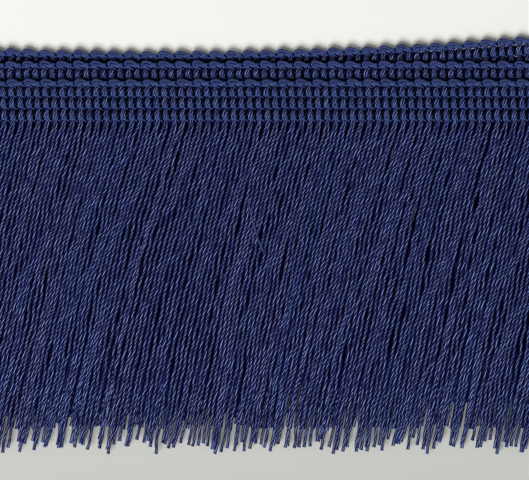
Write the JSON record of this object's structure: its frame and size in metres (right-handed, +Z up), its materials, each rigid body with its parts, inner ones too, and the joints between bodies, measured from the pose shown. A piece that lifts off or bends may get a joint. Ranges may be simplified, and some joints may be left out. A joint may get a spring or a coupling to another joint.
{
  "type": "cut fringe trim",
  "caption": "Navy cut fringe trim with a knitted scalloped heading and a skirt of twisted cords, laid flat in three folded layers.",
  "frame": {"origin": "under the middle of the folded trim, on the surface that it lies on", "axes": "+X along the trim, +Y from the cut ends of the cords towards the heading, +Z up through the three layers"},
  "size_m": [0.214, 0.1142, 0.0076],
  "materials": {
    "heading_yarn": "navy rayon yarn, knitted, soft satin sheen",
    "fringe_cord": "navy rayon yarn, several strands twisted into cord, soft satin sheen"
  },
  "bodies": {
    "root": {"heading": "heading_yarn", "fringe": "fringe_cord"}
  },
  "joints": []
}
